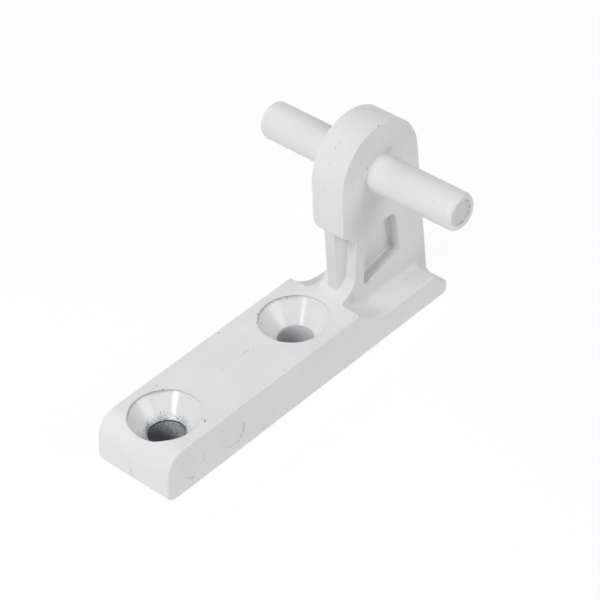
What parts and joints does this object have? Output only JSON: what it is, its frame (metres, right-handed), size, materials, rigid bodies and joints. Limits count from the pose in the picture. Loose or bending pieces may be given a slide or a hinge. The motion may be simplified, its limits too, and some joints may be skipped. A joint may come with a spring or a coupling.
{
  "type": "refrigerator door hinge",
  "caption": "White coated L-shaped centre hinge bracket with countersunk screw holes in its bar and a cross pin through its upright ear, for hanging a door above and a door below.",
  "frame": {"origin": "midway between the two screw holes, on the mounting face", "axes": "+Z away from the mounting face, +Y along the bar towards the ear, +X along the pin"},
  "size_m": [0.0494, 0.0806, 0.0463],
  "materials": {
    "coated_casting": "satin white coating on zinc die casting, bare metal in the screw holes",
    "coated_pin": "satin white coating on steel, thin on the end faces"
  },
  "bodies": {
    "root": {"hinge_bracket": "coated_casting", "hinge_pin": "coated_pin"}
  },
  "joints": []
}
